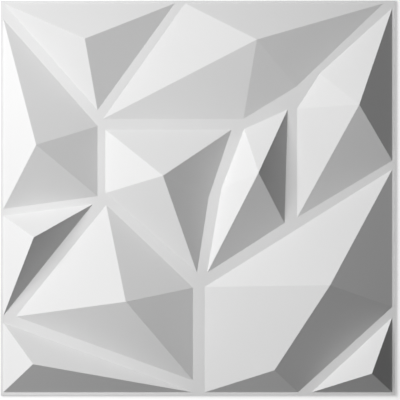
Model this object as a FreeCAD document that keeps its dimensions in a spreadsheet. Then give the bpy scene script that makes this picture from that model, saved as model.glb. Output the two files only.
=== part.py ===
# A 3D wall panel tile: one sheet of rigid white plastic, formed into faceted pyramids with flat
# channels between them and a narrow flat rim. Its back is open and follows the front.
# Millimetres. The origin is the middle of the back plane, +X and +Y run along the sides of the tile and
# +Z points out of its front, so the tile lies on its back.
import FreeCAD, Part
import os
import Sketcher

doc = FreeCAD.newDocument("wall_panel_tile")
sizes = doc.addObject("Spreadsheet::Sheet", "sizes")
size_names = []


def add_size(name, value):
    """Keep a driving dimension in the next row of the sheet and return its expression."""
    size_names.append(name)
    row = len(size_names)
    sizes.set(f"A{row}", name)
    sizes.set(f"B{row}", str(value))
    sizes.setAlias(f"B{row}", name)
    return f"sizes.{name}"


# The sheet: its side, the flat rim round the relief and its gauge.
SIDE = add_size("panel_side", 500)
RIM = add_size("rim_width", 3.5)
GAUGE = add_size("sheet_gauge", 4)
# The hipped block ends in a plane that rises from the bottom rim at this angle, in degrees.
HIP_SLOPE = add_size("hip_slope", 41)

HALF_SIDE = f"{SIDE} / 2"
HALF_FIELD = f"({HALF_SIDE} - {RIM})"


# A plan coordinate is a number, measured from the middle of the tile, or it keeps its distance from a
# rim, so that the relief still fills the tile when its side changes.
def left(inset=0):
    return f"-{HALF_FIELD} + ", inset


def right(inset=0):
    return f"{HALF_FIELD} - ", inset


bottom = left
top = right


# Each pyramid has a flat outline on the front of the sheet, given clockwise, and one peak over it. The
# fourth corner of the hipped block lies outside the tile, and its hip plane cuts that end away.
PYRAMIDS = {
    "top_left": {
        "outline": [(left(), top()), (-29, top()), (-127, 111)],
        "peak": (-143, top(45)),
        "height": 28,
    },
    "upper_left": {
        "outline": [(left(), top(20)), (-127, 91), (-127, 2), (left(), -14)],
        "peak": (left(42), 67),
        "height": 34,
    },
    "lower_left": {
        "outline": [(left(), -23), (-133, -8), (left(), bottom(97))],
        "peak": (left(39), -50),
        "height": 35,
    },
    "bottom_left": {
        "outline": [(left(), bottom(88)), (-6, bottom()), (left(), bottom())],
        "peak": (left(38), bottom(36)),
        "height": 32,
    },
    "lower_middle": {
        "outline": [(-116, -9), (-6, -114), (-6, bottom(15)), (left(16), bottom(96))],
        "peak": (-91, bottom(115)),
        "height": 36,
    },
    "centre": {
        "outline": [(-117, 86.5), (43, 86.5), (14, 1), (-1, -95), (-117, 6)],
        "peak": (-44, 28),
        "height": 36,
    },
    "top_middle": {
        "outline": [(-16, top()), (right(11), top()), (125, 141), (58, 100), (-120, 100)],
        "peak": (75, top(46)),
        "height": 27,
    },
    "inner_right": {
        "outline": [(59, 87), (114, 112), (110, -32), (12, -95), (30, 11)],
        "peak": (77, 32),
        "height": 36,
    },
    "upper_right": {
        "outline": [(126, 113), (155, 158), (right(), top(6)), (right(), 47), (126, -25)],
        "peak": (right(42), 118),
        "height": 32,
    },
    "hipped": {
        "outline": [(9, -113), (right(), 36), (right(), bottom(108)), (9, bottom(-107))],
        "peak": (right(79), bottom(136)),
        "height": 44,
    },
    "bottom_right": {
        "outline": [(right(), bottom(95)), (right(), bottom()), (right(102), bottom())],
        "peak": (right(26), bottom(24)),
        "height": 26,
    },
}


def place(name, coordinate):
    """Expression of a plan coordinate, with its distance in the sheet."""
    datum, distance = coordinate if isinstance(coordinate, tuple) else ("", coordinate)
    return datum + (add_size(name, distance) if distance else "0")


def make_outline(name, corners):
    """Closed sketch on the front of the flat sheet, each corner fixed by its two coordinates."""
    sketch = doc.addObject("Sketcher::SketchObject", f"{name}_outline")
    sketch.setExpression("Placement.Base.z", GAUGE)
    places = []
    for number, (across, along) in enumerate(corners, 1):
        places.append((place(f"{name}_x{number}", across), place(f"{name}_y{number}", along)))
    sizes.recompute()
    points = [FreeCAD.Vector(sketch.evalExpression(x), sketch.evalExpression(y)) for x, y in places]
    for start, end in zip(points, points[1:] + points[:1]):
        sketch.addGeometry(Part.LineSegment(start, end))
    for edge in range(len(points)):
        sketch.addConstraint(Sketcher.Constraint("Coincident", edge, 2, (edge + 1) % len(points), 1))
    for edge, (point, (across, along)) in enumerate(zip(points, places)):
        for axis, start, expression in (("X", point.x, across), ("Y", point.y, along)):
            index = sketch.addConstraint(Sketcher.Constraint(f"Distance{axis}", -1, 1, edge, 1, start))
            sketch.setExpression(f"Constraints[{index}]", expression)
    return sketch


def make_pyramid(name, outline, peak, height):
    """Flat facets from an outline up to its peak."""
    apex = doc.addObject("Part::Vertex", f"{name}_peak")
    apex.setExpression("X", place(f"{name}_peak_x", peak[0]))
    apex.setExpression("Y", place(f"{name}_peak_y", peak[1]))
    apex.setExpression("Z", f"{GAUGE} + " + add_size(f"{name}_height", height))
    pyramid = doc.addObject("Part::Loft", name)
    pyramid.Sections = [make_outline(name, outline), apex]
    pyramid.Solid = True
    pyramid.Ruled = True
    return pyramid


def cut_hip(block):
    """Take away what lies beyond the plane that rises from the bottom rim at the hip's slope."""
    waste = doc.addObject("Part::Box", "hip_waste")
    waste.setExpression("Length", SIDE)
    waste.setExpression("Width", SIDE)
    waste.setExpression("Height", SIDE)
    waste.Placement.Rotation = FreeCAD.Rotation(FreeCAD.Vector(1, 0, 0), sizes.get("hip_slope"))
    waste.setExpression("Placement.Rotation.Angle", HIP_SLOPE)
    waste.setExpression("Placement.Base.x", f"-{HALF_SIDE}")
    waste.setExpression("Placement.Base.y", f"-{HALF_FIELD} - {HALF_SIDE} * cos({HIP_SLOPE})")
    waste.setExpression("Placement.Base.z", f"{GAUGE} - {HALF_SIDE} * sin({HIP_SLOPE})")
    hipped = doc.addObject("Part::Cut", f"{block.Name}_block")
    hipped.Base = block
    hipped.Tool = waste
    return hipped


pyramids = []
for pyramid_name, form in PYRAMIDS.items():
    raised = make_pyramid(pyramid_name, **form)
    if pyramid_name == "hipped":
        raised = cut_hip(raised)
    pyramids.append(raised)

flat = doc.addObject("Part::Box", "flat_sheet")
flat.setExpression("Length", SIDE)
flat.setExpression("Width", SIDE)
flat.setExpression("Height", GAUGE)
flat.setExpression("Placement.Base.x", f"-{HALF_SIDE}")
flat.setExpression("Placement.Base.y", f"-{HALF_SIDE}")

front_form = doc.addObject("Part::MultiFuse", "front_form")
front_form.Shapes = [flat] + pyramids

# The sheet thins as it is drawn down a slope, so that it measures one gauge straight through everywhere:
# its hollow back is the front moved down by the gauge.
back_form = doc.addObject("Part::MultiFuse", "back_form")
back_form.Shapes = pyramids
back_form.setExpression("Placement.Base.z", f"-{GAUGE}")

panel = doc.addObject("Part::Cut", "panel")
panel.Label = "panel"
panel.Base = front_form
panel.Tool = back_form

doc.recompute()
failed = [item.Name for item in doc.Objects if {"Invalid", "Error"} & set(item.State)]
if failed:
    raise RuntimeError(f"could not build {failed}")
if panel.Shape.isNull() or not panel.Shape.isValid():
    raise RuntimeError("the panel has no valid shape")

os.makedirs("parts", exist_ok=True)
panel.Shape.exportStep(f"parts/{panel.Label}.step")
box = panel.Shape.BoundBox
print(f"panel: {len(panel.Shape.Solids)} solid, {box.XLength:.1f} x {box.YLength:.1f} x {box.ZLength:.1f} mm,"
      f" {panel.Shape.Volume / 1000:.1f} cm3, {len(panel.Shape.Faces)} faces")
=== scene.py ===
# %% [markdown]
# # A faceted wall panel tile
#
# The tile is one white sheet of plastic, formed into eleven faceted pyramids with flat channels between
# them and a narrow flat rim. The solid model comes first, because it fixes every size and place. This
# lesson then gives the sheet the soft edges, the finish, the light and the view that the real tile has.

# %% Load the solid
import math

import bmesh
import bpy
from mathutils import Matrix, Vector


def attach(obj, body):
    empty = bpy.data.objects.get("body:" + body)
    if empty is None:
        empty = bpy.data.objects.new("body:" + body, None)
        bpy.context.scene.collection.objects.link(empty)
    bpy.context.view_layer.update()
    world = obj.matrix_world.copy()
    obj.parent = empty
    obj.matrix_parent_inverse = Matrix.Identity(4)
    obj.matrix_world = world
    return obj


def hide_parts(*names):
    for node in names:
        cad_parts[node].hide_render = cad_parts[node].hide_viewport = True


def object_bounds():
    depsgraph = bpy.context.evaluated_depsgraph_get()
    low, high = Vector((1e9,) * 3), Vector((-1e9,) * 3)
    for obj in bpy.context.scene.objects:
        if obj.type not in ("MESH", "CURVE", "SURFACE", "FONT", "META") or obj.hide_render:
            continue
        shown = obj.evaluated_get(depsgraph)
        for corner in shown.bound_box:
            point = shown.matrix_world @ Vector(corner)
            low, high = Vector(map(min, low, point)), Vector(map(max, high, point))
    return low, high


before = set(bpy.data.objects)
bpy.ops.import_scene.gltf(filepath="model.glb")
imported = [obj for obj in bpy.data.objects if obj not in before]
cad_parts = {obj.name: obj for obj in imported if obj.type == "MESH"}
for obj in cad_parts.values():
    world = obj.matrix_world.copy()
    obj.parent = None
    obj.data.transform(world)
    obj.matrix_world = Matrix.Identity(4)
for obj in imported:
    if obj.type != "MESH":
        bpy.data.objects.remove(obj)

MM = 0.001
solid_low, solid_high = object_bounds()
print("solid from", [round(v / MM, 1) for v in solid_low], "to", [round(v / MM, 1) for v in solid_high], "mm")

# %% [markdown]
# ## The formed sheet
#
# Every facet of the real tile is one flat face. The solid has those facets already, so the sheet starts as
# a copy of it: drawing the pyramids again by hand could only move them. The copy is made of loose
# triangles, so its corners are merged, and the triangles of each flat face are dissolved into one face.
# What is left is the clean set of facets, channels and walls that the next step can work on.

# %% Copy the solid and merge its triangles
MERGE_WITHIN = 0.01 * MM
SAME_PLANE = math.radians(0.3)

sheet = bpy.data.objects.new("formed_sheet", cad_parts["panel"].data.copy())
bpy.context.scene.collection.objects.link(sheet)


def open_for_editing(piece):
    """Deselect all else and enter edit mode on one piece, with all of it selected."""
    bpy.ops.object.select_all(action="DESELECT")
    piece.select_set(True)
    bpy.context.view_layer.objects.active = piece
    bpy.ops.object.mode_set(mode="EDIT")
    bpy.ops.mesh.select_all(action="SELECT")


open_for_editing(sheet)
bpy.ops.mesh.customdata_custom_splitnormals_clear()
bpy.ops.mesh.remove_doubles(threshold=MERGE_WITHIN)
bpy.ops.mesh.dissolve_limited(angle_limit=SAME_PLANE)
bpy.ops.object.mode_set(mode="OBJECT")
print("sheet:", len(sheet.data.vertices), "corners,", len(sheet.data.polygons), "flat faces")

# %% [markdown]
# ## Soft ridges and folds
#
# Warm plastic that is drawn over a mould can't follow a knife edge: each ridge, and each fold at the foot
# of a facet, keeps a small radius. It is under a pixel wide in the view from above, and it is what catches
# the light when the tile is seen from near. A bevel of all these edges at once gives it, because the
# operator can then work out each corner where several ridges meet. The outer edge is sawn after the
# forming, so it stays sharp.

# %% Round the ridges and the folds
EDGE_ROUND = 0.4 * MM
ROUND_STEPS = 3
SHARP = math.radians(1.5)
TOLERANCE = 0.1 * MM

half_side = solid_high.x
open_for_editing(sheet)
bpy.ops.mesh.select_all(action="DESELECT")
bpy.ops.mesh.select_mode(type="EDGE")
bpy.ops.mesh.edges_select_sharp(sharpness=SHARP)
mesh = bmesh.from_edit_mesh(sheet.data)
for edge in mesh.edges:
    if all(max(abs(corner.co.x), abs(corner.co.y)) > half_side - TOLERANCE for corner in edge.verts):
        edge.select_set(False)
bmesh.update_edit_mesh(sheet.data)
print("soft edges:", sum(edge.select for edge in mesh.edges))
bpy.ops.mesh.bevel(
    offset_type="OFFSET", offset=EDGE_ROUND, segments=ROUND_STEPS, affect="EDGES", clamp_overlap=False
)
bpy.ops.object.mode_set(mode="OBJECT")
print("rounded sheet:", len(sheet.data.polygons), "faces")

# %% [markdown]
# ## Flat facets beside round edges
#
# The facets have to stay flat to the eye beside the rounded strips. Smooth shading alone would bend the
# light over a whole facet, because a facet has corners only at its ends. Weighted normals let the largest
# face at each corner win, so the facets shade flat and only the narrow strips turn. The sawn edge is much
# sharper than any step of a rounded strip, so an angle between the two keeps it crisp.

# %% Keep the facets flat
SAWN = math.radians(50)
LARGEST_WINS = 100

bpy.ops.object.shade_smooth_by_angle(angle=SAWN)
weights = sheet.modifiers.new("flat_facets", "WEIGHTED_NORMAL")
weights.mode = "FACE_AREA"
weights.weight = LARGEST_WINS
weights.keep_sharp = True
bpy.ops.object.modifier_apply(modifier=weights.name)

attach(sheet, "root")
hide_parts("panel")
print("sharp edges left:", sum(edge.use_edge_sharp for edge in sheet.data.edges))

# %% [markdown]
# ## The white finish
#
# The sheet is plain white plastic with a matte skin. Three things keep it from looking like a computer's
# white: the white clouds very slightly where the sheet stretched more or less, the skin has a fine grain of
# about a millimetre, and the facets aren't truly flat but waver by a few hundredths of a millimetre. All of
# them are noise on Object coordinates, so the pattern stays on the sheet from any side. The clouds change
# the colour. The grain changes the roughness, and grain and waver together tilt the surface as bump.

# %% Matte white that clouds a little
WHITE = 0.75
WHITE_SPREAD = 0.012
GLOSS = 0.11
CLOUDS_PER_METRE = 12.0


def add_node(tree, kind, inputs=None, **options):
    """Add a node, with its options and its unlinked inputs set by name."""
    made = tree.nodes.new(kind)
    for name, value in options.items():
        setattr(made, name, value)
    for name, value in (inputs or {}).items():
        made.inputs[name].default_value = value
    return made


def grey(value):
    """Opaque colour of one grey."""
    return (value, value, value, 1.0)


plastic = bpy.data.materials.new("matte_white_plastic")
plastic.use_nodes = True
tree = plastic.node_tree
link = tree.links.new
shader = tree.nodes["Principled BSDF"]
shader.inputs["Specular IOR Level"].default_value = GLOSS
place = add_node(tree, "ShaderNodeTexCoord").outputs["Object"]

clouds = add_node(tree, "ShaderNodeTexNoise", {"Scale": CLOUDS_PER_METRE, "Detail": 4.0, "Roughness": 0.55})
shade = add_node(tree, "ShaderNodeMix", data_type="RGBA")
shade.inputs["A"].default_value = grey(WHITE - WHITE_SPREAD)
shade.inputs["B"].default_value = grey(WHITE + WHITE_SPREAD)
link(place, clouds.inputs["Vector"])
link(clouds.outputs["Fac"], shade.inputs["Factor"])
link(shade.outputs["Result"], shader.inputs["Base Color"])

sheet.data.materials.clear()
sheet.data.materials.append(plastic)
print("white:", WHITE, "give or take", WHITE_SPREAD)

# %% Fine grain and slight waver
GRAINS_PER_METRE = 1100.0
GRAIN_DEPTH = 0.05 * MM
WAVES_PER_METRE = 16.0
WAVER_DEPTH = 0.2 * MM
ROUGHNESS = {"To Min": 0.56, "To Max": 0.68}

grain = add_node(tree, "ShaderNodeTexNoise", {"Scale": GRAINS_PER_METRE, "Detail": 2.0, "Roughness": 0.5})
waver = add_node(tree, "ShaderNodeTexNoise", {"Scale": WAVES_PER_METRE, "Detail": 1.0, "Roughness": 0.4})
rough = add_node(tree, "ShaderNodeMapRange", ROUGHNESS)
link(place, grain.inputs["Vector"])
link(place, waver.inputs["Vector"])
link(grain.outputs["Fac"], rough.inputs["Value"])
link(rough.outputs["Result"], shader.inputs["Roughness"])

uneven = add_node(tree, "ShaderNodeBump", {"Strength": 0.4, "Distance": WAVER_DEPTH})
skin = add_node(tree, "ShaderNodeBump", {"Strength": 0.5, "Distance": GRAIN_DEPTH})
link(waver.outputs["Fac"], uneven.inputs["Height"])
link(grain.outputs["Fac"], skin.inputs["Height"])
link(uneven.outputs["Normal"], skin.inputs["Normal"])
link(skin.outputs["Normal"], shader.inputs["Normal"])
print("finish:", plastic.name, "with", len(tree.nodes), "nodes")

# %% [markdown]
# ## The floor
#
# The tile lies on a wide pale floor. The photo's ground is plain white, yet it keeps a soft shadow along
# two sides of the tile. A brighter lamp would burn out the tile as well, so the floor helps itself: for the
# rays of the camera it glows a little, which lifts it to white where it is lit, and leaves the shadow grey.
# A white floor would also throw light up at the outer facets, which are dark in the photo. So for the rays
# that carry light the floor is a plain grey card.

# %% Wide floor under the tile
FLOOR_SIDE = 30.0

bpy.ops.object.select_all(action="DESELECT")
bpy.ops.mesh.primitive_plane_add(size=FLOOR_SIDE)
floor = bpy.context.object
floor.name = "studio_floor"
print("floor:", FLOOR_SIDE, "m wide")

# %% Floor finish that keeps the shadow
FLOOR_GREY = 0.62
FLOOR_SPREAD = 0.01
FLOOR_CLOUDS_PER_METRE = 3.0
FLOOR_ROUGHNESS = 0.9
FLOOR_GLOW = 0.5
FLOOR_BOUNCE = 0.32


def seen_directly(tree):
    """1 for the rays of the camera and for mirror and glass rays, 0 for those that carry light."""
    path = add_node(tree, "ShaderNodeLightPath")
    either = add_node(tree, "ShaderNodeMath", operation="MAXIMUM")
    seen = add_node(tree, "ShaderNodeMath", operation="MAXIMUM")
    tree.links.new(path.outputs["Is Camera Ray"], either.inputs[0])
    tree.links.new(path.outputs["Is Glossy Ray"], either.inputs[1])
    tree.links.new(either.outputs[0], seen.inputs[0])
    tree.links.new(path.outputs["Is Transmission Ray"], seen.inputs[1])
    return seen.outputs[0]


ground = bpy.data.materials.new("pale_floor")
ground.use_nodes = True
tree = ground.node_tree
link = tree.links.new
shader = tree.nodes["Principled BSDF"]
shader.inputs["Roughness"].default_value = FLOOR_ROUGHNESS
shader.inputs["Specular IOR Level"].default_value = 0.0
place = add_node(tree, "ShaderNodeTexCoord").outputs["Object"]
clouds = add_node(tree, "ShaderNodeTexNoise", {"Scale": FLOOR_CLOUDS_PER_METRE, "Detail": 3.0})
shade = add_node(tree, "ShaderNodeMix", data_type="RGBA")
shade.inputs["A"].default_value = grey(FLOOR_GREY - FLOOR_SPREAD)
shade.inputs["B"].default_value = grey(FLOOR_GREY + FLOOR_SPREAD)
link(place, clouds.inputs["Vector"])
link(clouds.outputs["Fac"], shade.inputs["Factor"])

seen = seen_directly(tree)
colour = add_node(tree, "ShaderNodeMix", data_type="RGBA")
colour.inputs["A"].default_value = grey(FLOOR_BOUNCE)
link(seen, colour.inputs["Factor"])
link(shade.outputs["Result"], colour.inputs["B"])
link(colour.outputs["Result"], shader.inputs["Base Color"])
glow = add_node(tree, "ShaderNodeMath", operation="MULTIPLY")
glow.inputs[1].default_value = FLOOR_GLOW
link(seen, glow.inputs[0])
shader.inputs["Emission Color"].default_value = grey(1.0)
link(glow.outputs[0], shader.inputs["Emission Strength"])
floor.data.materials.append(ground)
print("floor finish:", ground.name, "with", len(tree.nodes), "nodes")

# %% [markdown]
# ## One soft lamp
#
# Each facet has its own grey because a single soft lamp stands up and to the left: facets that turn to it
# are nearly white, and those that turn away are lit only by their neighbours and the floor. The lamp is a
# round softbox, one and a half metres across and two metres off, so that shadows have soft edges and the
# far corner of the tile is a little darker. The room round it looks white and gives no light: more light
# from all sides would wash out the greys of the facets.

# %% Softbox up and to the left
LAMP_AZIMUTH = math.radians(154.5)
LAMP_HEIGHT = math.radians(48.5)
LAMP_DISTANCE = 2.1
LAMP_WIDTH = 1.5
LAMP_WATTS = 53.8

towards = Vector((
    math.cos(LAMP_AZIMUTH) * math.cos(LAMP_HEIGHT),
    math.sin(LAMP_AZIMUTH) * math.cos(LAMP_HEIGHT),
    math.sin(LAMP_HEIGHT),
))
bpy.ops.object.light_add(type="AREA", location=towards * LAMP_DISTANCE)
softbox = bpy.context.object
softbox.name = "softbox"
softbox.rotation_euler = towards.to_track_quat("Z", "Y").to_euler()
softbox.data.shape = "DISK"
softbox.data.size = LAMP_WIDTH
softbox.data.energy = LAMP_WATTS
softbox.visible_camera = False
print("softbox at", [round(v, 2) for v in softbox.location], "m")

# %% Room that looks white
room = bpy.data.worlds.new("room")
room.use_nodes = True
tree = room.node_tree
sky = tree.nodes["Background"]
sky.inputs["Color"].default_value = grey(1.0)
tree.links.new(seen_directly(tree), sky.inputs["Strength"])
bpy.context.scene.world = room
print("room:", room.name, "with", len(tree.nodes), "nodes")

# %% [markdown]
# ## The view from straight above
#
# The photo looks straight at the tile, with no converging sides, so the camera hangs far above it with a
# very long lens. Its frame is a little wider than the tile and a little off its middle.

# %% Camera over the tile
FRAME_WIDTH = 507.0 * MM
FRAME_MIDDLE = (2.9 * MM, -2.8 * MM)
LENS = 1500.0

bpy.ops.object.camera_add()
camera = bpy.context.object
camera.name = "view_from_above"
camera.data.lens = LENS
front = min(v.co.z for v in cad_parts["panel"].data.vertices if v.co.z > TOLERANCE)
rise = FRAME_WIDTH * LENS / camera.data.sensor_width
camera.location = (*FRAME_MIDDLE, front + rise)
bpy.context.scene.camera = camera
bpy.context.scene.view_settings.view_transform = "Standard"
print("camera", round(rise, 2), "m above the tile")
